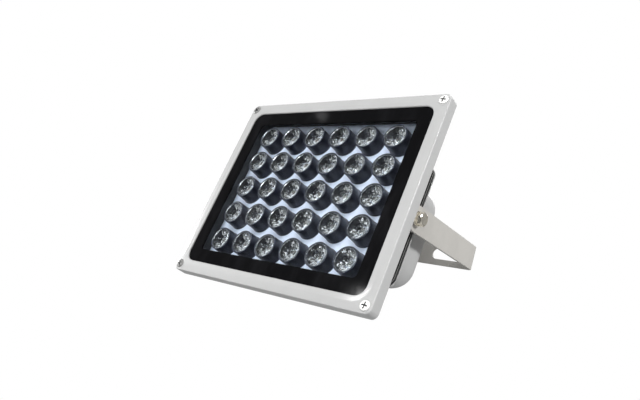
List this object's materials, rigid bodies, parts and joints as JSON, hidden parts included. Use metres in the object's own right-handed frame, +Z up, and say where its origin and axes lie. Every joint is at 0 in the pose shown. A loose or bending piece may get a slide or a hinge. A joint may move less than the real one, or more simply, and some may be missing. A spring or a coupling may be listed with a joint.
{
  "type": "infrared illuminator",
  "caption": "Infrared array illuminator: a rectangular lamp head with lensed emitters behind a window, tilting between the arms of a folded bracket that fixes to a wall.",
  "frame": {"origin": "centre of the wall side of the bracket's base plate, on the axis of its middle fixing hole", "axes": "+Y out of the wall side of the bracket, along the fixing hole; +X along the base plate and the tilt axis; +Z up. The lamp looks along -Y, tilted up 9.2 degrees at rest"},
  "size_m": [0.225, 0.1612, 0.1842],
  "materials": {
    "grey_paint": "light grey gloss powder coat on die-cast aluminium",
    "bracket_paint": "warm light grey paint on steel bar",
    "window_glass": "clear toughened glass with a black printed border",
    "silicone": "grey silicone",
    "black_rubber": "black rubber",
    "black_liner": "satin black plastic",
    "board_white": "white solder mask with a lilac cast",
    "holder_black": "black moulded plastic",
    "clear_lens": "clear moulded lens",
    "emitter": "dark emitter package",
    "plated_steel": "bright zinc-plated steel",
    "nylon": "natural nylon",
    "gland_black": "black nylon",
    "driver_green": "green circuit board",
    "coil_tape": "yellow tape over ferrite",
    "capacitor_sleeve": "dark plastic sleeve",
    "terminal_green": "green moulded plastic",
    "lead_sleeve": "red insulation"
  },
  "bodies": {
    "bracket": {"bracket": "bracket_paint"},
    "head": {"front_bezel": "grey_paint", "bezel_screws": "plated_steel", "window_glass": "window_glass", "glass_seal": "silicone", "inner_frame": "black_liner", "led_board": "board_white", "led_emitters": "emitter", "lens_holders": "holder_black", "lenses": "clear_lens", "rear_housing": "grey_paint", "housing_gasket": "black_rubber", "rear_box": "grey_paint", "box_screws": "plated_steel", "driver_board": "driver_green", "driver_coil": "coil_tape", "terminal_block": "terminal_green", "feed_leads": "lead_sleeve", "gland_body": "gland_black", "gland_seal": "black_rubber", "gland_nut": "gland_black", "driver_capacitor": "capacitor_sleeve", "pivot_bolts": "plated_steel", "flat_washers": "plated_steel", "spring_washers": "plated_steel", "friction_washers": "nylon"}
  },
  "joints": [
    {"name": "head_tilt", "type": "hinge", "parent": "bracket", "child": "head", "pos_m": [0, -0.11, 0], "axis": [1, 0, 0], "range_deg": [-80.8, 99.2]}
  ]
}
